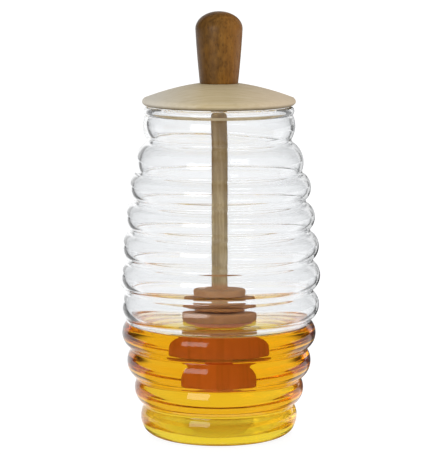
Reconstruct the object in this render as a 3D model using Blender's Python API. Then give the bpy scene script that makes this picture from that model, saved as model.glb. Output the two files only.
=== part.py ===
"""Glass honey jar: ribbed glass, a turned wooden lid with a knob, and a dipper that stands in the honey.

All sizes below are in millimetres. The jar's axis is Z, and it stands on z = 0. Every piece is turned: a
profile, which is a list of (radius, height) points, is spun once round Z.
"""

import math

import bmesh
import bpy

MM = 0.001
MERGE_DISTANCE = 1e-6
SHARP_ANGLE = 50.0
CLEARANCE = 0.3

JAR_SIDES = 30
TURNED_SIDES = 20
RIB_STEPS = 4

# The grooves between the ribs, as (radius, height), from the base up to the neck.
GROOVES = [
    (31.5, 12.69), (34.3, 23.79), (36.85, 36.31), (38.15, 48.31), (38.85, 60.66),
    (38.85, 73.28), (37.5, 85.68), (35.6, 97.89), (34.7, 109.9), (30.0, 122.94),
]
# How far each rib stands out from the straight line between its two grooves.
RIB_BULGES = [2.15, 2.65, 2.95, 3.3, 3.35, 3.4, 3.3, 3.05, 2.3]

WALL = 2.0
FLOOR = 2.0
RECESS_RADIUS = 20.0
RECESS_DEPTH = 0.6
FOOT_RADIUS = 27.5
FOOT_CORNER = (31.16, 2.46)
FOOT_CORNER_BULGE = 0.33
FOOT_STEPS = 2
BASE_BULGE = 1.4
FLOOR_CORNER_RADIUS = 28.0

NECK_TOP = (30.9, 133.1)
NECK_BULGE = 1.05
LIP_CENTRE = (29.45, 135.3)
LIP_HALF_WIDTH = 1.75
LIP_HALF_HEIGHT = 1.95
LIP_STEPS = 6
LIP_START_ANGLE = -40.0
LIP_END_ANGLE = 220.0

HONEY_LEVEL = 46.5

LID_BOTTOM = 137.5
LID_EDGE = [(29.8, 0.0), (31.0, 0.4), (31.8, 1.6), (31.0, 3.1)]
LID_TOP_HEIGHT = 9.8
# The crown is cut flat where the knob stands on it.
LID_SEAT_RADIUS = 8.2
LID_CROWN_STEPS = 5
LID_CROWN_POWER = 1.75

KNOB_FOOT_RADIUS = 7.95
KNOB_RADIUS = 9.75
KNOB_TOP = 176.3
KNOB_DOME = 7.2
KNOB_SOCKET = 12.0
KNOB_STEPS = 4

ROD_RADIUS = 3.33
DIPPER_CORE_RADIUS = 4.0
DIPPER_BOTTOM = 23.4
# The dipper's discs from the lowest up, as (bottom, top, radius).
DISCS = [(24.9, 31.2, 10.6), (36.0, 43.0, 14.2), (46.0, 52.3, 15.6), (53.4, 60.6, 11.0)]
DISC_ROUNDING = 1.0


def arc(start, end, bulge, steps):
    """Points after start up to end, on the arc that stands out by bulge to the right of the way up."""
    centre, radius, first, last = circle_through(start, end, bulge)
    return [point_on(centre, radius, first + (last - first) * i / steps) for i in range(1, steps + 1)]


def circle_through(start, end, bulge):
    """Centre, radius and the two end angles of the arc from start up to end, measured from +radius."""
    along = (end[0] - start[0], end[1] - start[1])
    chord = math.hypot(*along)
    radius = (chord ** 2 / 4 + bulge ** 2) / (2 * bulge)
    outwards = (along[1] / chord, -along[0] / chord)
    centre = (
        (start[0] + end[0]) / 2 - outwards[0] * (radius - bulge),
        (start[1] + end[1]) / 2 - outwards[1] * (radius - bulge),
    )
    first = math.atan2(start[1] - centre[1], start[0] - centre[0])
    last = math.atan2(end[1] - centre[1], end[0] - centre[0])
    return centre, radius, first, last


def point_on(centre, radius, angle):
    return centre[0] + radius * math.cos(angle), centre[1] + radius * math.sin(angle)


def wall_stretches():
    """The wall's bulging stretches from the base to the neck, as (low end, high end, bulge)."""
    stretches = [(FOOT_CORNER, GROOVES[0], BASE_BULGE)]
    stretches += zip(GROOVES, GROOVES[1:], RIB_BULGES)
    stretches.append((GROOVES[-1], NECK_TOP, NECK_BULGE))
    return stretches


def outer_wall():
    """The glass's outer face, from the foot up to the lip."""
    points = [(0.0, RECESS_DEPTH), (RECESS_RADIUS, RECESS_DEPTH), (RECESS_RADIUS + RECESS_DEPTH, 0.0)]
    points += [(FOOT_RADIUS, 0.0)] + arc((FOOT_RADIUS, 0.0), FOOT_CORNER, FOOT_CORNER_BULGE, FOOT_STEPS)
    for low, high, bulge in wall_stretches():
        points += arc(low, high, bulge, RIB_STEPS)
    return points


def inner_wall(depth, floor):
    """A face that lies depth inside the outer wall, from the middle of the floor up to the neck.

    A rib's inner face shares the centre of its outer one. Behind a groove the face turns round the groove.
    """
    circles = [circle_through(*stretch) for stretch in wall_stretches()]
    points = [(0.0, floor), (FLOOR_CORNER_RADIUS, floor)]
    for (centre, radius, first, last), above in zip(circles, circles[1:] + [None]):
        for i in range(RIB_STEPS - 1):
            points.append(point_on(centre, radius - depth, first + (last - first) * i / (RIB_STEPS - 2)))
        if above:
            groove = point_on(centre, radius, last)
            points.append(point_on(groove, depth, (last + above[2]) / 2 + math.pi))
    return points


def cut_at(points, level):
    """The points below level, and the point where the line through them crosses it."""
    below = [point for point in points if point[1] < level]
    low, high = below[-1], points[len(below)]
    share = (level - low[1]) / (high[1] - low[1])
    return below + [(low[0] + (high[0] - low[0]) * share, level)]


def dipper_outline(grown):
    """The dipper's profile up to its neck, as a rising list of points, grown by a distance all round."""
    core = DIPPER_CORE_RADIUS + grown
    points = [(0.0, DIPPER_BOTTOM - grown), (core, DIPPER_BOTTOM - grown)]
    for bottom, top, disc_radius in DISCS:
        low = bottom - grown
        high = top + grown
        radius = disc_radius + grown
        points += [(core, low), (radius - DISC_ROUNDING, low), (radius, low + DISC_ROUNDING)]
        points += [(radius, high - DISC_ROUNDING), (radius - DISC_ROUNDING, high), (core, high)]
    return points


def material(name, colour, roughness, transmission=0.0, ior=1.5):
    """A Principled BSDF of one linear colour."""
    made = bpy.data.materials.new(name)
    made.use_nodes = True
    shader = made.node_tree.nodes["Principled BSDF"]
    shader.inputs["Base Color"].default_value = (*colour, 1.0)
    shader.inputs["Roughness"].default_value = roughness
    shader.inputs["Metallic"].default_value = 0.0
    shader.inputs["Transmission Weight"].default_value = transmission
    shader.inputs["IOR"].default_value = ior
    made.diffuse_color = (*colour, 1.0)
    return made


def turned(name, profile, sides, finish, parent, height=0.0):
    """An object from a profile spun once round Z. Its origin is at height on the axis."""
    shape = bmesh.new()
    corners = [shape.verts.new((radius * MM, 0.0, (z - height) * MM)) for radius, z in profile]
    edges = [shape.edges.new(pair) for pair in zip(corners, corners[1:])]
    bmesh.ops.spin(
        shape, geom=corners + edges, cent=(0, 0, 0), axis=(0, 0, 1),
        angle=math.tau, steps=sides, use_merge=True,
    )
    bmesh.ops.remove_doubles(shape, verts=shape.verts, dist=MERGE_DISTANCE)
    bmesh.ops.recalc_face_normals(shape, faces=shape.faces)
    mesh = bpy.data.meshes.new(name)
    shape.to_mesh(mesh)
    shape.free()
    mesh.shade_smooth()
    mesh.set_sharp_from_angle(angle=math.radians(SHARP_ANGLE))
    mesh.materials.append(finish)
    made = bpy.data.objects.new(name, mesh)
    made.location.z = height * MM
    made.parent = parent
    bpy.context.scene.collection.objects.link(made)
    return made


def glass_jar(parent):
    """The ribbed jar: open at the top, with a rounded lip and a shallow recess under its floor."""
    lip = []
    for i in range(LIP_STEPS + 1):
        angle = math.radians(LIP_START_ANGLE + (LIP_END_ANGLE - LIP_START_ANGLE) * i / LIP_STEPS)
        lip.append((
            LIP_CENTRE[0] + LIP_HALF_WIDTH * math.cos(angle),
            LIP_CENTRE[1] + LIP_HALF_HEIGHT * math.sin(angle),
        ))
    profile = inner_wall(WALL, FLOOR) + lip[::-1] + outer_wall()[::-1]
    glass = material("clear_glass", (0.95, 0.96, 0.96), 0.02, transmission=1.0, ior=1.47)
    return turned("glass_jar", profile, JAR_SIDES, glass, parent)


def honey(parent):
    """The honey up to its level, clear of the glass and cut round the dipper."""
    side = cut_at(inner_wall(WALL + CLEARANCE, FLOOR + CLEARANCE), HONEY_LEVEL)
    profile = [(0.0, HONEY_LEVEL)] + side[::-1]
    finish = material("honey", (0.80, 0.40, 0.02), 0.05, transmission=0.6, ior=1.48)
    made = turned("honey", profile, JAR_SIDES, finish, parent)

    space = dipper_outline(CLEARANCE)
    space.append((0.0, space[-1][1]))
    cutter = turned("dipper_space", space[::-1], TURNED_SIDES, finish, parent)
    cutter.hide_render = True
    cutter.display_type = "WIRE"
    cut = made.modifiers.new("space for the dipper", "BOOLEAN")
    cut.operation = "DIFFERENCE"
    cut.solver = "EXACT"
    cut.object = cutter
    return made


def crown_height(radius):
    """Height of the lid's domed top at a distance from the axis."""
    rim_radius, rim_height = LID_EDGE[-1]
    fall = (LID_TOP_HEIGHT - rim_height) * (radius / rim_radius) ** LID_CROWN_POWER
    return LID_BOTTOM + LID_TOP_HEIGHT - fall


def lid(parent):
    """The domed lid, flat below and under the knob, with a bore for the dipper's rod."""
    bore = ROD_RADIUS + CLEARANCE
    edge = [(radius, LID_BOTTOM + height) for radius, height in LID_EDGE]
    rim_radius = LID_EDGE[-1][0]
    crown = []
    for i in range(1, LID_CROWN_STEPS + 1):
        radius = rim_radius + (LID_SEAT_RADIUS - rim_radius) * i / LID_CROWN_STEPS
        crown.append((radius, crown_height(radius)))
    seat = (bore, crown_height(LID_SEAT_RADIUS))
    profile = [seat] + crown[::-1] + edge[::-1] + [(bore, LID_BOTTOM), seat]
    finish = material("pale_turned_wood", (0.50, 0.41, 0.26), 0.55)
    return turned("lid", profile, JAR_SIDES, finish, parent, LID_BOTTOM)


def knob_bottom():
    return crown_height(LID_SEAT_RADIUS) + CLEARANCE


def knob(parent):
    """The knob on the lid: it widens upwards to a round top, with a blind socket for the rod below."""
    socket = ROD_RADIUS + CLEARANCE
    bottom = knob_bottom()
    top = KNOB_TOP - KNOB_DOME
    side = [(KNOB_FOOT_RADIUS, bottom), (KNOB_RADIUS, top)]
    dome = []
    for i in range(1, KNOB_STEPS + 1):
        angle = math.pi / 2 * i / KNOB_STEPS
        dome.append((KNOB_RADIUS * math.cos(angle), top + KNOB_DOME * math.sin(angle)))
    inside = [(socket, bottom), (socket, bottom + KNOB_SOCKET), (0.0, bottom + KNOB_SOCKET)]
    profile = (side + dome)[::-1] + inside
    finish = material("brown_turned_wood", (0.17, 0.085, 0.025), 0.45)
    return turned("knob", profile, TURNED_SIDES, finish, parent, bottom)


def dipper(parent):
    """The dipper: four rounded discs on a core, and a rod up through the lid into the knob."""
    rod_top = knob_bottom() + KNOB_SOCKET - CLEARANCE
    outline = dipper_outline(0.0)
    outline += [(ROD_RADIUS, outline[-1][1] + DISC_ROUNDING), (ROD_RADIUS, rod_top), (0.0, rod_top)]
    finish = material("dipper_wood", (0.30, 0.17, 0.08), 0.55)
    return turned("dipper", outline[::-1], TURNED_SIDES, finish, parent, DIPPER_BOTTOM)


def main():
    for old in list(bpy.data.objects):
        bpy.data.objects.remove(old)
    stand = bpy.data.objects.new("honey_jar", None)
    bpy.context.scene.collection.objects.link(stand)
    for make in (glass_jar, honey, lid, knob, dipper):
        make(stand)


main()
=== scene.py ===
"""A ribbed glass honey jar with a turned wooden lid, a knob and a dipper, part filled with honey."""

import math

import bmesh
import bpy
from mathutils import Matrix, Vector


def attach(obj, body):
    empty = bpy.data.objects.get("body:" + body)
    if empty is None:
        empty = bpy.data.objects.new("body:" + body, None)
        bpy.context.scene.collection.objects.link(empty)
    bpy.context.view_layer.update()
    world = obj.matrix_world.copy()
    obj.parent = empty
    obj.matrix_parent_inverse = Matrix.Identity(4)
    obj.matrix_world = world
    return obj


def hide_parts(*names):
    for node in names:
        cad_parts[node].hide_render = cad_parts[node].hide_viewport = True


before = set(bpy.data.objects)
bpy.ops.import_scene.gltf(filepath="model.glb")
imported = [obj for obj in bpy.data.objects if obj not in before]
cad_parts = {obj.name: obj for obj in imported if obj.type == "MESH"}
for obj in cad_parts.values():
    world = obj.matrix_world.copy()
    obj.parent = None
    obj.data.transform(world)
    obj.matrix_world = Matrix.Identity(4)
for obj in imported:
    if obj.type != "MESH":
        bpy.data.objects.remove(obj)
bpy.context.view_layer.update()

bl_info = {
    "name": "Honey Jar",
    "version": (1, 0, 0),
    "blender": (4, 5, 0),
    "location": "View3D > Sidebar > Honey Jar",
    "description": "Builds a ribbed glass honey jar with its lid, knob, dipper and honey",
    "category": "Add Mesh",
}

MM = 0.001
PHOTO_WIDTH, PHOTO_HEIGHT = 425, 455
SENSOR_MM = 36.0

# Every size below is in millimetres. A point is (radius, height above the foot).
# Where the ribs' arcs meet, from the base up to the neck. Each groove is rounded off there.
GROOVES = [
    (31.01, 12.69), (34.0, 23.79), (36.35, 36.31), (37.67, 48.31), (38.36, 60.66),
    (38.36, 73.28), (37.0, 85.68), (35.1, 97.89), (34.23, 109.9), (29.55, 122.94),
]
# How far each rib stands out from the straight line between its two grooves.
RIB_BULGES = [2.64, 3.16, 3.44, 3.79, 3.84, 3.91, 3.82, 3.55, 2.78]
FOOT_RADIUS = 27.46
FOOT_CORNER = (31.16, 2.46)
FOOT_CORNER_BULGE = 0.33
BASE_BULGE = 1.64
RECESS_RADIUS = 20.0
RECESS_DEPTH = 0.6
RECESS_EDGE_WIDTH = 1.2
# Share of its chord that the arc between the inside floor and the wall stands out by.
FLOOR_CORNER_BULGE = 0.29
NECK_TOP = (30.9, 133.08)
NECK_BULGE = 1.27
LIP_CENTRE = (29.45, 135.3)
LIP_HALF_WIDTH = 1.75
LIP_HALF_HEIGHT = 1.95
# Angles on the lip's section at which it leaves the outer wall and meets the inner one.
LIP_ANGLES = (-55.0, 235.0)
# Heights between which the blown faces may stray, and over which the inside's drift dies out below the lip.
BLOWN_HEIGHTS = (4.0, 132.0)
DRIFT_FADES = 8.0
# How far apart the inside and the outside lie in the noise that they stray by, so that they differ.
FACES_APART = 5.0

LID_BOTTOM = 137.5
LID_RADIUS = 31.0
LID_EDGE = [(29.8, 0.0), (31.0, 0.4), (31.6, 1.0), (31.8, 1.6), (31.6, 2.4), (31.0, 3.1)]
LID_TOP_HEIGHT = 9.8
LID_CROWN_POWER = 1.75
# The crown is cut flat where the knob stands on it.
LID_SEAT_RADIUS = 8.2
LID_SEAT_HEIGHT = 9.15

KNOB_BOTTOM = LID_BOTTOM + LID_SEAT_HEIGHT
KNOB_FOOT_RADIUS = 7.95
# The foot's rounded edge, and how far its arc and the side's stand out from a straight line.
KNOB_EDGE_WIDTH, KNOB_EDGE_HEIGHT = 0.3, 0.4
KNOB_EDGE_BULGE = 0.1
KNOB_SIDE_BULGE = 0.15
KNOB_RADIUS = 9.75
KNOB_TOP = 176.3
KNOB_DOME = 7.2
KNOB_SOCKET = 12.0

ROD_RADIUS = 3.33
ROD_CLEARANCE = 0.3
CORE_RADIUS = 4.0
# Heights over which the core narrows at its lower end and up to the rod.
CORE_CHAMFER = 1.0
ROD_SHOULDER = 1.5
DIPPER_BOTTOM = 23.4
# The dipper's discs from the bottom up, as (bottom, top, radius).
DISCS = [(24.9, 31.2, 10.6), (36.0, 43.0, 14.2), (46.0, 52.3, 15.6), (53.4, 60.6, 11.0)]
DISC_ROUNDING = 1.5
# Air between the honey and its skin.
SKIN_CLEARANCE = 0.05
# Heights above the foot over which the honey's sides take on their tint, so that below them they are painted
# paler as painted light from below, and depths below its level over which they lose it again.
HONEY_TINT = (10.0, 18.0)
HONEY_TOP_CLEAR = (0.6, 0.1)
# Heights above the honey's level at which the wood starts to be damp, is plainly damp and is dampest.
DAMP_STARTS, DAMP_SHOWS, DAMPEST = 19.0, 16.0, 3.0
# How far to both sides of the level the soaked wood fades into the damp.
SOAKED_FADES = 0.6
# Heights above the foot over which the rod is painted darker towards its top, as painted shade under the
# lid.
ROD_TOP_SHADE = (92.0, 112.0)
# Heights above the lid's underside between which its rim is painted darker downwards, as painted shade, and
# below which the underside is painted pale, as painted light.
LID_RIM_SHADE = (1.6, 0.4)
LID_UNDERSIDE_LIGHT = 0.1

JAR_SIDES = 192
WOOD_SIDES = 128
RIB_STEPS = 12
GROOVE_STEPS = 6
LIP_STEPS = 24
CORNER_STEPS = 8
CROWN_STEPS = 24
KNOB_EDGE_STEPS = 3
KNOB_SIDE_STEPS = 12
KNOB_DOME_STEPS = 16
DISC_STEPS = 6
# Radius of the circle that a profile is swept round, and how near two points are merged.
HUB = 1.0
MERGE_DISTANCE = 0.001
# The angle between two faces, in degrees, from which their edge is sharp.
SHARP_ANGLE = 40.0
# The values that noise mostly lies between, and the mean of its corners' marks from which a face is wet.
NOISE_SPREAD = {"From Min": 0.25, "From Max": 0.75}
WET_FACE = 0.99

# How the white room dims with the height of a ray's direction, where 0 is level and 1 straight up: what is
# seen through glass, and what is mirrored.
SEEN_DIMS = {"From Min": 0.45, "From Max": 0.8}
MIRRORED_DIMS = {"From Min": 0.3, "From Max": 0.75}
# How what is mirrored dims as its direction turns from straight behind the jar to aside, and on the floor
# from one distance behind the jar's axis to another, in metres.
VEIL_SKY = {"From Min": 0.8, "From Max": 0.7, "To Min": 1.1, "To Max": 0.03}
VEIL_FLOOR = {"From Min": 0.012, "From Max": -0.002, "To Max": 0.97}
# Angles aside of straight behind the jar at which a shade starts, is full, starts to fade and ends. The
# outline's shade draws the thin dark arc inside each rib's edge, the honey's its brown crescents, and the
# line's the dark edge down the right side. On the floor the first two fade in between two distances from
# the jar's axis, in metres.
OUTLINE_SKY_ANGLES = (15.0, 25.0, 100.0, 120.0)
OUTLINE_FLOOR_ANGLES = (30.0, 36.0, 58.0, 68.0)
OUTLINE_FLOOR = {"From Min": 2.5, "From Max": 2.0}
OUTLINE_SHADE = 0.8
HONEY_FLOOR_ANGLES = (22.0, 38.0, 80.0, 88.0)
HONEY_FLOOR = {"From Min": 0.08, "From Max": 0.13, "To Max": 0.95}
LINE_SKY_ANGLES = (4.0, 10.0, 24.0, 34.0)
LINE_FLOOR_ANGLES = (6.0, 14.0, 40.0, 50.0)
LINE_SHADE = 0.9
# Least and most faces that a ray has crossed past a rib's edge, and through honey.
EDGE_FACES = (2, 3)
HONEY_FACES = (5, 99)
SMOOTH = {"interpolation_type": "SMOOTHSTEP"}
BOUNCES = 32

# The floor and the light, in metres.
FLOOR_HALF_SIZE = 3.0
FLOOR_HEIGHT = -0.0002
KEY_PLACE = (-0.44, -0.8, 0.31)
KEY_AIM = (0.0, 0.0, 0.08)
KEY_SIZE = (0.5, 0.46)
CAMERA_CLIP = (0.01, 50.0)


def linear(hex_colour):
    """An sRGB colour such as #c8a070 as linear red, green, blue and alpha."""
    channels = [int(hex_colour[i:i + 2], 16) / 255 for i in (1, 3, 5)]
    return (*[c / 12.92 if c <= 0.04045 else ((c + 0.055) / 1.055) ** 2.4 for c in channels], 1.0)


BLACK = linear("#000000")
WHITE = linear("#ffffff")


def add(tree, kind, inputs=None, **settings):
    """Adds a node with its settings.

    An input is a value, an output to link from, or a node, whose first output is linked.
    """
    made = tree.nodes.new(kind)
    for name, value in settings.items():
        setattr(made, name, value)
    for key, value in (inputs or {}).items():
        if isinstance(value, bpy.types.Node):
            value = value.outputs[0]
        if isinstance(value, bpy.types.NodeSocket):
            tree.links.new(value, made.inputs[key])
        else:
            made.inputs[key].default_value = value
    return made


def blank(name):
    """A new material and its empty node tree."""
    material = bpy.data.materials.new(name)
    material.use_nodes = True
    material.node_tree.nodes.clear()
    return material, material.node_tree


class GlassSettings(bpy.types.PropertyGroup):
    """Sizes and finish of the blown glass."""
    wall: bpy.props.FloatProperty(
        name="Wall", description="Thickness of the glass", default=2.0 * MM, unit="LENGTH")
    floor: bpy.props.FloatProperty(
        name="Floor", description="Height of the inside floor above the foot", default=2.0 * MM,
        unit="LENGTH")
    drift: bpy.props.FloatProperty(
        name="Drift", description="How far the inside sits off the middle of the outside",
        default=0.6 * MM, unit="LENGTH")
    ior: bpy.props.FloatProperty(
        name="IOR", description="How strongly the glass bends light", default=1.47, min=1.0, max=2.0)
    rounding: bpy.props.FloatProperty(
        name="Groove rounding", description="Radius of the groove between two ribs",
        default=1.2 * MM, unit="LENGTH")
    waviness: bpy.props.FloatProperty(
        name="Waviness", description="How far the blown faces stray from a true circle",
        default=0.03 * MM, unit="LENGTH")
    wave_length: bpy.props.FloatProperty(
        name="Wave length", description="Distance from one swell of the glass to the next",
        default=24 * MM, unit="LENGTH")
    colour: bpy.props.FloatVectorProperty(
        name="Colour", description="Tint of the clear glass", subtype="COLOR", size=4,
        default=linear("#f7f8f9"))
    gloss: bpy.props.FloatProperty(
        name="Gloss", description="Share of a clean surface's reflection that shows face on", default=1.0,
        min=0.0, max=1.0, subtype="FACTOR")


class HoneySettings(bpy.types.PropertyGroup):
    """Level and colour of the honey."""
    level: bpy.props.FloatProperty(
        name="Level", description="Height of the honey above the foot", default=46.5 * MM, unit="LENGTH")
    reach: bpy.props.FloatProperty(
        name="Reach", description="How far the honey reaches into the glass, so that no air gap shows",
        default=0.3 * MM, unit="LENGTH")
    ior: bpy.props.FloatProperty(
        name="IOR", description="How strongly the honey bends light", default=1.46, min=1.0, max=2.0)
    colour: bpy.props.FloatVectorProperty(
        name="Colour", description="Colour of light that has gone in and out of the honey", subtype="COLOR",
        size=4, default=linear("#fad6aa"))
    foot_colour: bpy.props.FloatVectorProperty(
        name="Foot colour", description="The same colour at the foot, where light comes from below",
        subtype="COLOR", size=4, default=linear("#ffffff"))
    depth_colour: bpy.props.FloatVectorProperty(
        name="Depth colour", description="Colour that light takes on along its way through the honey",
        subtype="COLOR", size=4, default=linear("#fef352"))
    density: bpy.props.FloatProperty(
        name="Density", description="How fast light takes on the depth colour, per metre", default=60.0)
    skin: bpy.props.FloatProperty(
        name="Skin", description="Thickness of the honey's skin", default=0.3 * MM, unit="LENGTH")
    skin_ior: bpy.props.FloatProperty(
        name="Skin IOR", description="How strongly the skin mirrors at a low angle", default=1.3, min=1.0,
        max=2.0)


class WoodSettings(bpy.types.PropertyGroup):
    """Colours of the three wooden pieces."""
    lid_light: bpy.props.FloatVectorProperty(
        name="Lid, light", description="Between the lid's fibres", subtype="COLOR", size=4,
        default=linear("#bdae8e"))
    lid_dark: bpy.props.FloatVectorProperty(
        name="Lid, dark", description="The lid's fibres", subtype="COLOR", size=4,
        default=linear("#a8966f"))
    knob_light: bpy.props.FloatVectorProperty(
        name="Knob, light", description="Between the knob's fibres", subtype="COLOR", size=4,
        default=linear("#784e10"))
    knob_dark: bpy.props.FloatVectorProperty(
        name="Knob, dark", description="The knob's fibres and blotches", subtype="COLOR", size=4,
        default=linear("#4c300a"))
    dipper_light: bpy.props.FloatVectorProperty(
        name="Dipper, light", description="Between the dipper's fibres", subtype="COLOR", size=4,
        default=linear("#ccb58b"))
    dipper_dark: bpy.props.FloatVectorProperty(
        name="Dipper, dark", description="The dipper's fibres", subtype="COLOR", size=4,
        default=linear("#a48c60"))
    dipper_wet: bpy.props.FloatVectorProperty(
        name="Dipper, wet", description="Wood that has soaked in the honey", subtype="COLOR", size=4,
        default=linear("#ff9ebc"))


class StageSettings(bpy.types.PropertyGroup):
    """Camera, floor and light."""
    distance: bpy.props.FloatProperty(
        name="Distance", description="From the jar's axis to the camera, along the floor",
        default=960 * MM, unit="LENGTH")
    height: bpy.props.FloatProperty(
        name="Height", description="Of the camera above the floor", default=214 * MM, unit="LENGTH")
    aim: bpy.props.FloatProperty(
        name="Aim", description="Height on the jar's axis that the camera points at",
        default=86.6 * MM, unit="LENGTH")
    pixel: bpy.props.FloatProperty(
        name="Pixel", description="Real size of one photo pixel at the jar", default=0.416 * MM,
        unit="LENGTH")
    axis_column: bpy.props.FloatProperty(
        name="Axis column", description="Pixel column of the jar's axis", default=218.9,
        subtype="PIXEL")
    key: bpy.props.FloatProperty(
        name="Key light", description="Power of the softbox at the front left", default=2.5, unit="POWER")
    room: bpy.props.FloatProperty(
        name="Room", description="Brightness of the white room", default=1.06)
    ceiling: bpy.props.FloatProperty(
        name="Ceiling", description="Brightness overhead of what is seen through glass", default=0.25)
    mirrored_ceiling: bpy.props.FloatProperty(
        name="Mirrored ceiling", description="Brightness overhead of what glass mirrors", default=0.3)
    floor_light: bpy.props.FloatProperty(
        name="Floor light", description="Share of the floor's brightness that comes from below",
        default=0.85, min=0.0, max=1.0, subtype="FACTOR")


def circle_through(start, end, bulge):
    """Centre, radius and the two end angles of the arc from start up to end, measured from +radius."""
    along = (end[0] - start[0], end[1] - start[1])
    chord = math.hypot(*along)
    radius = (chord ** 2 / 4 + bulge ** 2) / (2 * bulge)
    outwards = (along[1] / chord, -along[0] / chord)
    centre = (
        (start[0] + end[0]) / 2 - outwards[0] * (radius - bulge),
        (start[1] + end[1]) / 2 - outwards[1] * (radius - bulge),
    )
    first = math.atan2(start[1] - centre[1], start[0] - centre[0])
    last = math.atan2(end[1] - centre[1], end[0] - centre[0])
    return centre, radius, first, last


def point_on(centre, radius, angle):
    """The point of a circle at an angle from +radius."""
    return centre[0] + radius * math.cos(angle), centre[1] + radius * math.sin(angle)


def arc(start, end, bulge, steps):
    """Points after start up to end, on the arc that stands out by bulge to the right of the way up."""
    centre, radius, first, last = circle_through(start, end, bulge)
    return [point_on(centre, radius, first + (last - first) * i / steps) for i in range(1, steps + 1)]


def crossing(centre_a, radius_a, centre_b, radius_b):
    """The point farthest from the jar's axis where two circles cross."""
    across, up = centre_b[0] - centre_a[0], centre_b[1] - centre_a[1]
    apart = math.hypot(across, up)
    along = (radius_a ** 2 - radius_b ** 2 + apart ** 2) / (2 * apart)
    aside = math.sqrt(radius_a ** 2 - along ** 2)
    return max(
        (centre_a[0] + (across * along + side * up * aside) / apart,
         centre_a[1] + (up * along - side * across * aside) / apart)
        for side in (-1, 1)
    )


def wall_arcs(rounding):
    """The wall's arcs from the foot corner to the neck, as (centre, radius, first angle, last angle).

    Ribs bulge outwards. The grooves between them are rounded off by arcs that bend the other way, and these
    have a negative radius.
    """
    stretches = [(FOOT_CORNER, GROOVES[0], BASE_BULGE)]
    stretches += zip(GROOVES, GROOVES[1:], RIB_BULGES)
    stretches.append((GROOVES[-1], NECK_TOP, NECK_BULGE))
    ribs = [circle_through(*stretch) for stretch in stretches]
    arcs = []
    first = ribs[0][2]
    for low, high in zip(ribs, ribs[1:]):
        centre = crossing(low[0], low[1] + rounding, high[0], high[1] + rounding)
        from_low = math.atan2(centre[1] - low[0][1], centre[0] - low[0][0])
        from_high = math.atan2(centre[1] - high[0][1], centre[0] - high[0][0])
        arcs.append((low[0], low[1], first, from_low))
        arcs.append((centre, -rounding, from_low, from_high))
        first = from_high
    arcs.append((*ribs[-1][:2], first, ribs[-1][3]))
    return arcs


def wall_points(arcs, depth):
    """Points up along the wall's arcs, set inwards by depth."""
    points = []
    for centre, radius, first, last in arcs:
        steps = RIB_STEPS if radius > 0 else GROOVE_STEPS
        for i in range(1, steps + 1):
            points.append(point_on(centre, radius - depth, first + (last - first) * i / steps))
    return points


def outer_wall(rounding):
    """The glass's outer face, from the middle of the foot up to the neck."""
    points = [(0.0, RECESS_DEPTH), (RECESS_RADIUS, RECESS_DEPTH), (RECESS_RADIUS + RECESS_EDGE_WIDTH, 0.0)]
    points += [(FOOT_RADIUS, 0.0)] + arc((FOOT_RADIUS, 0.0), FOOT_CORNER, FOOT_CORNER_BULGE, CORNER_STEPS)
    return points + wall_points(wall_arcs(rounding), 0.0)


def inner_wall(rounding, depth, floor):
    """A face that lies depth inside the outer wall, from the middle of the floor up to the neck."""
    arcs = wall_arcs(rounding)
    centre, radius, first, _ = arcs[0]
    corner = point_on(centre, radius - depth, first)
    reach = corner[1] - floor
    points = [(0.0, floor), (corner[0] - reach, floor)]
    points += arc((corner[0] - reach, floor), corner, reach * FLOOR_CORNER_BULGE, CORNER_STEPS)
    return points + wall_points(arcs, depth)


def cut_at(points, level):
    """The points below level, and the point where the line through them crosses it."""
    below = [point for point in points if point[1] < level]
    low, high = below[-1], points[len(below)]
    share = (level - low[1]) / (high[1] - low[1])
    return below + [(low[0] + (high[0] - low[0]) * share, level)]


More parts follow.
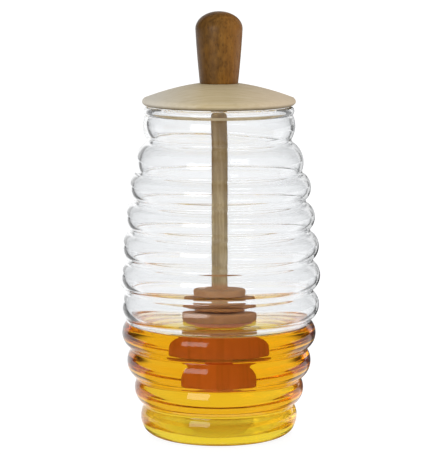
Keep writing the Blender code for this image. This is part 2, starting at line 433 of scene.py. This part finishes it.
def lathe_tree():
    """A Geometry Nodes tree that turns a profile of edges round Z and lets its faces stray a little."""
    tree = bpy.data.node_groups.new("turned on a lathe", "GeometryNodeTree")
    for label, kind in (
        ("Profile", "Geometry"), ("Sides", "Int"), ("Hub", "Float"), ("Waviness", "Float"),
        ("Wave Length", "Float"), ("Drift", "Float"), ("Material", "Material"), ("Wet Material", "Material"),
    ):
        tree.interface.new_socket(label, in_out="INPUT", socket_type="NodeSocket" + kind)
    tree.interface.new_socket("Mesh", in_out="OUTPUT", socket_type="NodeSocketGeometry")
    given = add(tree, "NodeGroupInput").outputs
    side, stray, loose, wet = [
        add(tree, "GeometryNodeInputNamedAttribute", {"Name": label}, data_type="FLOAT")
        for label in ("side", "stray", "loose", "wet")
    ]

    profile = add(tree, "GeometryNodeMeshToCurve", {"Mesh": given["Profile"]})
    circle = add(tree, "GeometryNodeCurvePrimitiveCircle", {
        "Resolution": given["Sides"], "Radius": given["Hub"]})
    swept = add(tree, "GeometryNodeCurveToMesh", {"Curve": circle, "Profile Curve": profile})
    merged = add(tree, "GeometryNodeMergeByDistance", {"Geometry": swept, "Distance": MERGE_DISTANCE * MM})

    # Each face swells and shrinks by noise, and a loose one also slides aside as a whole.
    place = add(tree, "GeometryNodeInputPosition")
    flat = add(tree, "ShaderNodeVectorMath", {0: place, 1: (1, 1, 0)}, operation="MULTIPLY")
    outwards = add(tree, "ShaderNodeVectorMath", {0: flat}, operation="NORMALIZE")
    pitch = add(tree, "ShaderNodeMath", {0: 1.0, 1: given["Wave Length"]}, operation="DIVIDE")
    noise = add(tree, "ShaderNodeTexNoise", {
        "Vector": place, "W": side, "Scale": pitch, "Detail": 1.0}, noise_dimensions="4D")
    swing = add(tree, "ShaderNodeMapRange", {
        "Value": noise, **NOISE_SPREAD, "To Min": -1.0, "To Max": 1.0})
    share = add(tree, "ShaderNodeMath", {0: swing, 1: stray}, operation="MULTIPLY")
    by = add(tree, "ShaderNodeMath", {0: share, 1: given["Waviness"]}, operation="MULTIPLY")
    swell = add(tree, "ShaderNodeVectorMath", {0: outwards, "Scale": by}, operation="SCALE")
    aside = add(tree, "ShaderNodeMath", {0: loose, 1: given["Drift"]}, operation="MULTIPLY")
    slide = add(tree, "ShaderNodeCombineXYZ", {"X": aside})
    offset = add(tree, "ShaderNodeVectorMath", {0: swell, 1: slide}, operation="ADD")
    moved = add(tree, "GeometryNodeSetPosition", {"Geometry": merged, "Offset": offset})

    real = add(tree, "GeometryNodeRealizeInstances", {"Geometry": moved})
    dry = add(tree, "GeometryNodeSetMaterial", {"Geometry": real, "Material": given["Material"]})
    wetted = add(tree, "FunctionNodeCompare", {"A": wet, "B": WET_FACE}, operation="GREATER_THAN")
    finished = add(tree, "GeometryNodeSetMaterial", {
        "Geometry": dry, "Selection": wetted, "Material": given["Wet Material"]})
    add(tree, "NodeGroupOutput", {"Mesh": finished})
    return tree


def turned(name, profile, sides, material, marks=None, closed=False, **values):
    """A plain mesh object of a profile, as (radius, height) in millimetres, turned round Z.

    marks holds numbers for the profile's points: stray, side, loose and wet. values are the tree's inputs.
    """
    count = len(profile)
    mesh = bpy.data.meshes.new(name + " profile")
    points = [((radius - HUB) * MM, -height * MM, 0.0) for radius, height in profile]
    edges = [(i, (i + 1) % count) for i in range(count if closed else count - 1)]
    mesh.from_pydata(points, edges, [])
    for label, numbers in (marks or {}).items():
        mesh.attributes.new(label, "FLOAT", "POINT").data.foreach_set("value", numbers)
    source = bpy.data.objects.new(name + " profile", mesh)
    bpy.context.scene.collection.objects.link(source)
    tree = bpy.data.node_groups.get("turned on a lathe") or lathe_tree()
    modifier = source.modifiers.new("lathe", "NODES")
    modifier.node_group = tree
    values = {
        "Sides": sides, "Hub": HUB * MM, "Waviness": 0.0, "Wave Length": 1.0, "Drift": 0.0,
        "Material": material, "Wet Material": material, **values,
    }
    for item in tree.interface.items_tree:
        if item.in_out == "INPUT" and item.name in values:
            modifier[item.identifier] = values[item.name]
    graph = bpy.context.evaluated_depsgraph_get()
    result = bpy.data.meshes.new_from_object(source.evaluated_get(graph), depsgraph=graph)
    bpy.data.objects.remove(source)
    result.name = name
    for label in marks or {}:
        result.attributes.remove(result.attributes[label])
    shape = bmesh.new()
    shape.from_mesh(result)
    bmesh.ops.recalc_face_normals(shape, faces=shape.faces)
    shape.to_mesh(result)
    shape.free()
    result.shade_smooth()
    result.set_sharp_from_angle(angle=math.radians(SHARP_ANGLE))
    made = bpy.data.objects.new(name, result)
    bpy.context.scene.collection.objects.link(made)
    return made


def hand_over(piece, node):
    """Lets a piece ride on the model's only body and stand for its node, which is hidden."""
    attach(piece, "root")
    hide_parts(node)


def own_place(tree):
    """The three coordinates of a point on the piece, in metres."""
    place = add(tree, "ShaderNodeTexCoord").outputs["Object"]
    return add(tree, "ShaderNodeSeparateXYZ", {0: place}).outputs


def laid_over(tree, under, over, value, start, end, most=1.0):
    """One colour laid over another, from not at all where value is start to the most where it is end."""
    share = add(tree, "ShaderNodeMapRange", {
        "Value": value, "From Min": start, "From Max": end, "To Max": most})
    return add(tree, "ShaderNodeMix", {0: share, 6: under, 7: over}, data_type="RGBA").outputs[2]


def blown_glass(name, settings, gloss):
    """Soda-lime glass, blown in a mould: clear with a breath of grey, polished by the fire."""
    material, tree = blank(name)
    shader = add(tree, "ShaderNodeBsdfPrincipled", {
        "Base Color": settings.colour, "Roughness": 0.0, "IOR": settings.ior, "Transmission Weight": 1.0,
        "Specular Tint": (gloss, gloss, gloss, 1.0)})
    add(tree, "ShaderNodeOutputMaterial", {"Surface": shader})
    return material


def clear_honey(settings):
    """Runny flower honey: clear and golden, more orange where it is thick and yellow at the foot, where its
    sides are painted paler as painted light from below.
    """
    material, tree = blank("honey_runny_clear")
    _, _, up = own_place(tree)
    # The top stays untinted: light that goes in there is coloured where it comes out at the side.
    low, high = [settings.level - depth * MM for depth in HONEY_TOP_CLEAR]
    side = add(tree, "ShaderNodeMapRange", {"Value": up, "From Min": high, "From Max": low})
    tint = laid_over(
        tree, settings.foot_colour, settings.colour, up, HONEY_TINT[0] * MM, HONEY_TINT[1] * MM, most=side)
    shader = add(tree, "ShaderNodeBsdfPrincipled", {
        "Base Color": tint, "Roughness": 0.0, "IOR": settings.ior, "Transmission Weight": 1.0,
        "Specular Tint": BLACK})
    depth = add(tree, "ShaderNodeVolumeAbsorption", {
        "Color": settings.depth_colour, "Density": settings.density})
    add(tree, "ShaderNodeOutputMaterial", {"Surface": shader, "Volume": depth})
    return material


def honey_sheen(settings):
    """The honey's skin: clear, and mirroring the pale room at a low angle, so that the level looks pale."""
    material, tree = blank("honey_sheen")
    shader = add(tree, "ShaderNodeBsdfPrincipled", {
        "Base Color": WHITE, "Roughness": 0.0, "IOR": settings.skin_ior, "Transmission Weight": 1.0,
        "Specular Tint": BLACK})
    add(tree, "ShaderNodeOutputMaterial", {"Surface": shader})
    return material


def fibres(tree, grain, length, width, detail=2.0):
    """Noise from 0 to 1, drawn out along the grain, which is 0 for X and 2 for Z. Sizes in millimetres.

    Real fibres and pores are a tenth of a millimetre wide, too fine to show, so they are drawn wider.
    """
    place = add(tree, "ShaderNodeTexCoord").outputs["Object"]
    pitch = [1 / (MM * (length if axis == grain else width)) for axis in range(3)]
    drawn = add(tree, "ShaderNodeMapping", {"Vector": place, "Scale": pitch})
    return add(tree, "ShaderNodeTexNoise", {"Vector": drawn, "Scale": 1.0, "Detail": detail}).outputs[0]


def wood_surface(tree, colour, gloss, matt, least, most, relief, depth):
    """Ends a wood. Its roughness follows the pattern matt. It rises by the pattern relief, depth in mm."""
    rough = add(tree, "ShaderNodeMapRange", {"Value": matt, "To Min": least, "To Max": most})
    bump = add(tree, "ShaderNodeBump", {"Height": relief, "Distance": depth * MM})
    shader = add(tree, "ShaderNodeBsdfPrincipled", {
        "Base Color": colour, "Roughness": rough, "Specular IOR Level": gloss, "Normal": bump})
    add(tree, "ShaderNodeOutputMaterial", {"Surface": shader})


def lid_beech(settings):
    """Beech, turned and sanded, left dry: pale greenish beige, with fine fibres and short dark flecks."""
    material, tree = blank("beech_turned_dry")
    across, _, up = own_place(tree)
    fine = fibres(tree, grain=0, length=30, width=0.9, detail=4.0)
    flecks = fibres(tree, grain=0, length=4, width=0.6)
    wood = laid_over(tree, settings.lid_light, settings.lid_dark, fine, start=0.25, end=0.75)
    wood = laid_over(tree, wood, linear("#6f5a3c"), flecks, start=0.62, end=0.75, most=0.3)
    # The board is painted paler and pinker to the right and paler and greyer to the left, as painted sheen
    # at its sides.
    wood = laid_over(tree, wood, linear("#d6c2aa"), across, start=4 * MM, end=26 * MM, most=0.6)
    wood = laid_over(tree, wood, linear("#bab6ae"), across, start=-6 * MM, end=-27 * MM, most=0.75)
    # The lower rim is painted darker downwards, as painted shade under its edge. The underside is painted
    # pale, as painted light.
    high, low = [(LID_BOTTOM + height) * MM for height in LID_RIM_SHADE]
    wood = laid_over(tree, wood, linear("#5e4c2c"), up, high, low, most=0.75)
    wood = laid_over(
        tree, wood, linear("#f4dcae"), up, (LID_BOTTOM + LID_UNDERSIDE_LIGHT) * MM, LID_BOTTOM * MM)
    wood_surface(tree, wood, gloss=0.3, matt=fine, least=0.5, most=0.7, relief=fine, depth=0.05)
    return material


def knob_walnut(settings):
    """Walnut, turned and oiled: mottled brown with an upright grain, dark pores and a soft sheen."""
    material, tree = blank("walnut_turned_oiled")
    across, _, _ = own_place(tree)
    fine = fibres(tree, grain=2, length=7, width=1.2)
    blotches = fibres(tree, grain=2, length=11, width=6)
    pores = fibres(tree, grain=2, length=1.8, width=0.7)
    mottle = fibres(tree, grain=2, length=3.6, width=1.7, detail=4.0)
    both = add(tree, "ShaderNodeMath", {0: fine, 1: blotches}, operation="ADD")
    wood = laid_over(tree, settings.knob_light, settings.knob_dark, both, start=0.7, end=1.35)
    # The knob is painted warmer and lighter to the right and darker to the left, as painted light and shade
    # on its sides.
    wood = laid_over(tree, wood, linear("#a2672c"), across, start=0.0, end=KNOB_RADIUS * MM, most=0.45)
    wood = laid_over(tree, wood, linear("#9e702e"), mottle, start=0.4, end=0.7, most=0.35)
    wood = laid_over(tree, wood, linear("#3e280a"), across, start=2 * MM, end=-KNOB_RADIUS * MM, most=0.8)
    wood = laid_over(tree, wood, linear("#3c2408"), pores, start=0.55, end=0.7, most=0.45)
    wood_surface(tree, wood, gloss=0.25, matt=blotches, least=0.3, most=0.5, relief=pores, depth=-0.06)
    return material


def dipper_beech(settings, level):
    """Beech, turned and unfinished: tan, with upright fibres. It is red-brown where honey has soaked in."""
    material, tree = blank("beech_turned_soaked")
    _, _, up = own_place(tree)
    fine = fibres(tree, grain=2, length=20, width=0.8)
    broad = fibres(tree, grain=2, length=40, width=3)
    smears = fibres(tree, grain=2, length=12, width=5, detail=4.0)
    both = add(tree, "ShaderNodeMath", {0: fine, 1: broad}, operation="ADD")
    wood = laid_over(tree, settings.dipper_light, settings.dipper_dark, both, start=0.75, end=1.25)
    # The head's two upper discs stand out of the honey, but have been dipped in it.
    starts, shows, dampest = [level + height * MM for height in (DAMP_STARTS, DAMP_SHOWS, DAMPEST)]
    damp = add(tree, "ShaderNodeMapRange", {
        "Value": up, "From Min": starts, "From Max": dampest, "To Min": 0.6})
    wood = laid_over(tree, wood, linear("#bf7c3c"), up, starts, shows, most=damp)
    # The upper end of the rod is painted darker in patches, as painted shade under the lid.
    patchy = add(tree, "ShaderNodeMapRange", {
        "Value": smears, "From Min": 0.35, "From Max": 0.65, "To Min": 0.25})
    wood = laid_over(tree, wood, linear("#86683c"), up, ROD_TOP_SHADE[0] * MM, ROD_TOP_SHADE[1] * MM, most=patchy)
    wood = laid_over(
        tree, wood, settings.dipper_wet, up, level + SOAKED_FADES * MM, level - SOAKED_FADES * MM)
    wood = laid_over(tree, wood, linear("#6b4020"), broad, start=0.5, end=0.75, most=0.25)
    wood_surface(tree, wood, gloss=0.25, matt=broad, least=0.5, most=0.75, relief=fine, depth=0.04)
    return material


def shade(tree, direction, angles, strength, right_only=False):
    """Strength where a direction lies between the angles aside of straight behind the jar, 0 elsewhere."""
    across, behind, _ = add(tree, "ShaderNodeSeparateXYZ", {0: direction}).outputs
    aside = add(tree, "ShaderNodeMath", {0: across, 1: behind}, operation="ARCTAN2")
    if not right_only:
        aside = add(tree, "ShaderNodeMath", {0: aside}, operation="ABSOLUTE")
    start, full, fading, end = [math.radians(angle) for angle in angles]
    for nothing, everything in ((start, full), (end, fading)):
        strength = add(tree, "ShaderNodeMapRange", {
            "Value": aside, "From Min": nothing, "From Max": everything, "To Max": strength}, **SMOOTH)
    return strength


def crossed(tree, faces):
    """1 for a ray that has crossed so many faces of glass or honey and met nothing matt, 0 for others."""
    least, most = faces
    path = add(tree, "ShaderNodeLightPath").outputs
    counted = add(tree, "ShaderNodeMath", {
        0: path["Transmission Depth"], 1: (least + most) / 2, 2: (most - least + 1) / 2},
        operation="COMPARE")
    return add(tree, "ShaderNodeMath", {
        0: counted, 1: path["Diffuse Depth"]}, operation="SUBTRACT", use_clamp=True)


def mirrored(tree):
    """1 for a ray that comes from a shiny face, 0 for others."""
    path = add(tree, "ShaderNodeLightPath").outputs
    return add(tree, "ShaderNodeMath", {
        0: path["Is Reflection Ray"], 1: path["Is Diffuse Ray"]}, operation="SUBTRACT", use_clamp=True)


def white_card(settings):
    """Matt white card, lit partly from below as on a light table: pale, with only a breath of shadow."""
    material, tree = blank("card_white_matt")
    unlit = 1 - settings.floor_light
    shader = add(tree, "ShaderNodeBsdfPrincipled", {
        "Base Color": (unlit, unlit, unlit, 1.0), "Roughness": 0.6, "Specular IOR Level": 0.3,
        "Emission Color": WHITE, "Emission Strength": settings.floor_light * settings.room})
    place = add(tree, "ShaderNodeTexCoord").outputs["Object"]
    away = add(tree, "ShaderNodeVectorMath", {0: place}, operation="LENGTH").outputs["Value"]
    _, behind, _ = add(tree, "ShaderNodeSeparateXYZ", {0: place}).outputs
    # What glass mirrors of the camera's side is dark, so that no pale veil lies over the honey.
    veil = add(tree, "ShaderNodeMapRange", {"Value": behind, **VEIL_FLOOR}, **SMOOTH)
    line = shade(tree, place, LINE_FLOOR_ANGLES, LINE_SHADE, right_only=True)
    veil = add(tree, "ShaderNodeMath", {0: veil, 1: line}, operation="MAXIMUM")
    outline = add(tree, "ShaderNodeMapRange", {"Value": away, **OUTLINE_FLOOR}, **SMOOTH)
    crescents = add(tree, "ShaderNodeMapRange", {"Value": away, **HONEY_FLOOR}, **SMOOTH)
    dim = 0.0
    for rays, strength in (
        (mirrored(tree), veil),
        (crossed(tree, EDGE_FACES), shade(tree, place, OUTLINE_FLOOR_ANGLES, outline)),
        (crossed(tree, HONEY_FACES), shade(tree, place, HONEY_FLOOR_ANGLES, crescents)),
    ):
        part = add(tree, "ShaderNodeMath", {0: rays, 1: strength}, operation="MULTIPLY")
        dim = add(tree, "ShaderNodeMath", {0: dim, 1: part}, operation="MAXIMUM")
    dark = add(tree, "ShaderNodeEmission", {"Strength": 0.0})
    shaded = add(tree, "ShaderNodeMixShader", {0: dim, 1: shader, 2: dark})
    add(tree, "ShaderNodeOutputMaterial", {"Surface": shaded})
    return material


class HONEYJAR_OT_stage(bpy.types.Operator):
    """Set the floor, the light and the camera"""
    bl_idname = "honeyjar.stage"
    bl_label = "Stage"

    def execute(self, context):
        scene = context.scene
        settings = scene.honey_jar_stage
        self.camera(scene, settings)
        self.floor(scene, settings)
        self.softbox(scene, settings)
        self.room(scene, settings)
        scene.view_settings.view_transform = "Standard"
        for kind in ("max_bounces", "transmission_bounces", "glossy_bounces", "transparent_max_bounces"):
            setattr(scene.cycles, kind, BOUNCES)
        return {"FINISHED"}

    def camera(self, scene, settings):
        """A camera at the photo's angle. Its lens gives one photo pixel its real size at the jar."""
        rise = settings.height - settings.aim
        lens = bpy.data.cameras.new("camera")
        lens.sensor_width = SENSOR_MM
        lens.lens = math.hypot(settings.distance, rise) / settings.pixel * SENSOR_MM / PHOTO_HEIGHT
        lens.clip_start, lens.clip_end = CAMERA_CLIP
        camera = bpy.data.objects.new("camera", lens)
        sideways = (PHOTO_WIDTH / 2 - settings.axis_column) * settings.pixel
        camera.location = (sideways, -settings.distance, settings.height)
        camera.rotation_euler = (math.pi / 2 - math.atan2(rise, settings.distance), 0, 0)
        scene.collection.objects.link(camera)
        scene.camera = camera

    def floor(self, scene, settings):
        """A plain pale floor."""
        mesh = bpy.data.meshes.new("studio_floor")
        half = FLOOR_HALF_SIZE
        corners = [(-half, -half, 0), (half, -half, 0), (half, half, 0), (-half, half, 0)]
        mesh.from_pydata(corners, [], [(0, 1, 2, 3)])
        mesh.materials.append(white_card(settings))
        floor = bpy.data.objects.new("studio_floor", mesh)
        floor.location.z = FLOOR_HEIGHT
        scene.collection.objects.link(floor)

    def softbox(self, scene, settings):
        """The key light, a softbox at the front left."""
        lamp = bpy.data.lights.new("key softbox", "AREA")
        lamp.shape = "RECTANGLE"
        lamp.size, lamp.size_y = KEY_SIZE
        lamp.energy = settings.key
        key = bpy.data.objects.new("key softbox", lamp)
        key.location = KEY_PLACE
        key.rotation_euler = (Vector(KEY_AIM) - key.location).to_track_quat("-Z", "Y").to_euler()
        scene.collection.objects.link(key)

    def room(self, scene, settings):
        """A white room whose ceiling is darker where it is seen through glass or mirrored."""
        world = bpy.data.worlds.new("studio")
        scene.world = world
        world.use_nodes = True
        tree = world.node_tree
        tree.nodes.clear()
        path = add(tree, "ShaderNodeLightPath").outputs
        direction = add(tree, "ShaderNodeTexCoord").outputs["Generated"]
        _, behind, up = add(tree, "ShaderNodeSeparateXYZ", {0: direction}).outputs
        # The dim ceiling gives the ribs their dark lines. It lights nothing: a matt surface is lit evenly.
        seen = add(tree, "ShaderNodeMapRange", {
            "Value": up, **SEEN_DIMS, "To Min": settings.room, "To Max": settings.ceiling}, **SMOOTH)
        outline = add(tree, "ShaderNodeMath", {
            0: crossed(tree, EDGE_FACES), 1: shade(tree, direction, OUTLINE_SKY_ANGLES, OUTLINE_SHADE)},
            operation="MULTIPLY")
        line = shade(tree, direction, LINE_SKY_ANGLES, LINE_SHADE, right_only=True)
        glint = add(tree, "ShaderNodeMapRange", {
            "Value": up, **MIRRORED_DIMS, "To Min": 1.0, "To Max": settings.mirrored_ceiling}, **SMOOTH)
        veil = add(tree, "ShaderNodeMapRange", {"Value": behind, **VEIL_SKY}, **SMOOTH)
        glint = add(tree, "ShaderNodeMath", {0: glint, 1: veil}, operation="MULTIPLY")
        bright = []
        for strength, dark in ((seen, outline), (glint, line)):
            left = add(tree, "ShaderNodeMath", {0: 1.0, 1: dark}, operation="SUBTRACT")
            strength = add(tree, "ShaderNodeMath", {0: strength, 1: left}, operation="MULTIPLY")
            bright.append(add(tree, "ShaderNodeBackground", {"Color": WHITE, "Strength": strength}))
        through, shiny = bright
        even = add(tree, "ShaderNodeBackground", {"Color": WHITE, "Strength": settings.room})
        plain = add(tree, "ShaderNodeMath", {
            0: path["Is Camera Ray"], 1: path["Diffuse Depth"]}, operation="MAXIMUM", use_clamp=True)
        lit = add(tree, "ShaderNodeMixShader", {0: plain, 1: through, 2: even})
        lit = add(tree, "ShaderNodeMixShader", {0: mirrored(tree), 1: lit, 2: shiny})
        add(tree, "ShaderNodeOutputWorld", {"Surface": lit})


class HONEYJAR_OT_glass(bpy.types.Operator):
    """Blow the ribbed glass jar"""
    bl_idname = "honeyjar.glass"
    bl_label = "Glass jar"

    def execute(self, context):
        settings = context.scene.honey_jar_glass
        level = context.scene.honey_jar_honey.level / MM
        rounding = settings.rounding / MM
        inner = inner_wall(rounding, settings.wall / MM, settings.floor / MM)
        lip = []
        for i in range(LIP_STEPS + 1):
            angle = math.radians(LIP_ANGLES[0] + (LIP_ANGLES[1] - LIP_ANGLES[0]) * i / LIP_STEPS)
            lip.append((
                LIP_CENTRE[0] + LIP_HALF_WIDTH * math.cos(angle),
                LIP_CENTRE[1] + LIP_HALF_HEIGHT * math.sin(angle),
            ))
        outer = outer_wall(rounding)
        profile = inner + lip[::-1] + outer[::-1]
        inside = [1.0] * len(inner) + [0.0] * (len(lip) + len(outer))
        low, high = BLOWN_HEIGHTS
        marks = {
            "stray": [1.0 if low < z < high and r > RECESS_RADIUS else 0.0 for r, z in profile],
            "side": [FACES_APART * (1 - share) for share in inside],
            "loose": [
                share * min(1.0, max(0.0, (high - z) / DRIFT_FADES))
                for share, (r, z) in zip(inside, profile)
            ],
            "wet": [1.0 if share and z < level else 0.0 for share, (r, z) in zip(inside, profile)],
        }
        clear = blown_glass("glass_blown_clear", settings, settings.gloss)
        # Honey lies against the glass here and nearly bends light as it does, so nothing shines face on.
        wetted = blown_glass("glass_blown_wetted", settings, gloss=0.0)
        made = turned("glass_jar_blown", profile, JAR_SIDES, clear, marks, **{
            "Waviness": settings.waviness, "Wave Length": settings.wave_length, "Drift": settings.drift,
            "Wet Material": wetted,
        })
        hand_over(made, "glass_jar")
        return {"FINISHED"}


class HONEYJAR_OT_honey(bpy.types.Operator):
    """Fill the jar with honey up to its level"""
    bl_idname = "honeyjar.honey"
    bl_label = "Honey"

    def execute(self, context):
        settings = context.scene.honey_jar_honey
        glass = context.scene.honey_jar_glass
        level = settings.level / MM
        depth = (glass.wall - settings.reach) / MM
        floor = (glass.floor - settings.reach) / MM
        profile = cut_at(inner_wall(glass.rounding / MM, depth, floor), level) + [(0.0, level)]
        made = turned(
            "honey_body", profile, JAR_SIDES, clear_honey(settings), {"loose": [1.0] * len(profile)},
            Drift=glass.drift)
        hand_over(made, "honey")
        inside = inner_wall(glass.rounding / MM, glass.wall / MM, glass.floor / MM)
        reach = cut_at(inside, level)[-1][0] - SKIN_CLEARANCE
        low, high = level + SKIN_CLEARANCE, level + SKIN_CLEARANCE + settings.skin / MM
        skin = turned(
            "honey_skin", [(0.0, low), (reach, low), (reach, high), (0.0, high)], JAR_SIDES,
            honey_sheen(settings), {"loose": [1.0] * 4}, Drift=glass.drift)
        hand_over(skin, "honey")
        return {"FINISHED"}


class HONEYJAR_OT_lid(bpy.types.Operator):
    """Turn the lid"""
    bl_idname = "honeyjar.lid"
    bl_label = "Lid"

    def execute(self, context):
        bore = ROD_RADIUS + ROD_CLEARANCE
        profile = [(bore, LID_BOTTOM)] + [(radius, LID_BOTTOM + up) for radius, up in LID_EDGE]
        top = LID_BOTTOM + LID_TOP_HEIGHT
        fall = LID_TOP_HEIGHT - LID_EDGE[-1][1]
        for i in range(1, CROWN_STEPS):
            radius = LID_RADIUS + (LID_SEAT_RADIUS - LID_RADIUS) * i / CROWN_STEPS
            profile.append((radius, top - fall * (radius / LID_RADIUS) ** LID_CROWN_POWER))
        profile += [(LID_SEAT_RADIUS, KNOB_BOTTOM), (bore, KNOB_BOTTOM)]
        made = turned(
            "lid_turned", profile, WOOD_SIDES, lid_beech(context.scene.honey_jar_wood), closed=True)
        hand_over(made, "lid")
        return {"FINISHED"}


class HONEYJAR_OT_knob(bpy.types.Operator):
    """Turn the knob"""
    bl_idname = "honeyjar.knob"
    bl_label = "Knob"

    def execute(self, context):
        socket = ROD_RADIUS + ROD_CLEARANCE
        shoulder = KNOB_TOP - KNOB_DOME
        top = KNOB_BOTTOM + KNOB_SOCKET
        foot = (KNOB_FOOT_RADIUS - KNOB_EDGE_WIDTH, KNOB_BOTTOM)
        edge = (KNOB_FOOT_RADIUS, KNOB_BOTTOM + KNOB_EDGE_HEIGHT)
        profile = [(0.0, top), (socket, top), (socket, KNOB_BOTTOM), foot]
        profile += arc(foot, edge, KNOB_EDGE_BULGE, KNOB_EDGE_STEPS)
        profile += arc(edge, (KNOB_RADIUS, shoulder), KNOB_SIDE_BULGE, KNOB_SIDE_STEPS)
        for i in range(1, KNOB_DOME_STEPS + 1):
            angle = math.pi / 2 * i / KNOB_DOME_STEPS
            profile.append((KNOB_RADIUS * math.cos(angle), shoulder + KNOB_DOME * math.sin(angle)))
        made = turned("knob_turned", profile, WOOD_SIDES, knob_walnut(context.scene.honey_jar_wood))
        hand_over(made, "knob")
        return {"FINISHED"}


class HONEYJAR_OT_dipper(bpy.types.Operator):
    """Turn the dipper"""
    bl_idname = "honeyjar.dipper"
    bl_label = "Dipper"

    def execute(self, context):
        scene = context.scene
        profile = [
            (0.0, DIPPER_BOTTOM), (CORE_RADIUS - CORE_CHAMFER, DIPPER_BOTTOM),
            (CORE_RADIUS, DIPPER_BOTTOM + CORE_CHAMFER),
        ]
        for low, high, radius in DISCS:
            profile.append((CORE_RADIUS, low))
            for centre, start in ((low + DISC_ROUNDING, -90), (high - DISC_ROUNDING, 0)):
                for i in range(DISC_STEPS + 1):
                    angle = math.radians(start + 90 * i / DISC_STEPS)
                    profile.append(point_on((radius - DISC_ROUNDING, centre), DISC_ROUNDING, angle))
            profile.append((CORE_RADIUS, high))
        top = KNOB_BOTTOM + KNOB_SOCKET - ROD_CLEARANCE
        profile += [(ROD_RADIUS, DISCS[-1][1] + ROD_SHOULDER), (ROD_RADIUS, top), (0.0, top)]
        wood = dipper_beech(scene.honey_jar_wood, scene.honey_jar_honey.level)
        made = turned("dipper_turned", profile, WOOD_SIDES, wood)
        hand_over(made, "dipper")
        return {"FINISHED"}


class HONEYJAR_PT_panel(bpy.types.Panel):
    """Lists the pieces and their settings"""
    bl_idname = "HONEYJAR_PT_panel"
    bl_label = "Honey Jar"
    bl_space_type = "VIEW_3D"
    bl_region_type = "UI"
    bl_category = "Honey Jar"

    def draw(self, context):
        for group in SETTINGS:
            settings = getattr(context.scene, group)
            box = self.layout.box()
            for name in settings.__annotations__:
                box.prop(settings, name)
        for operator in OPERATORS:
            self.layout.operator(operator.bl_idname)


SETTINGS = {
    "honey_jar_glass": GlassSettings, "honey_jar_honey": HoneySettings, "honey_jar_wood": WoodSettings,
    "honey_jar_stage": StageSettings,
}
OPERATORS = (
    HONEYJAR_OT_stage, HONEYJAR_OT_glass, HONEYJAR_OT_honey, HONEYJAR_OT_lid, HONEYJAR_OT_knob,
    HONEYJAR_OT_dipper,
)


def register():
    for name, group in SETTINGS.items():
        bpy.utils.register_class(group)
        setattr(bpy.types.Scene, name, bpy.props.PointerProperty(type=group))
    for made in (*OPERATORS, HONEYJAR_PT_panel):
        bpy.utils.register_class(made)


def unregister():
    for made in (HONEYJAR_PT_panel, *reversed(OPERATORS)):
        bpy.utils.unregister_class(made)
    for name, group in SETTINGS.items():
        delattr(bpy.types.Scene, name)
        bpy.utils.unregister_class(group)


def main():
    register()
    for operator in OPERATORS:
        group, name = operator.bl_idname.split(".")
        getattr(getattr(bpy.ops, group), name)()


if __name__ == "__main__":
    main()
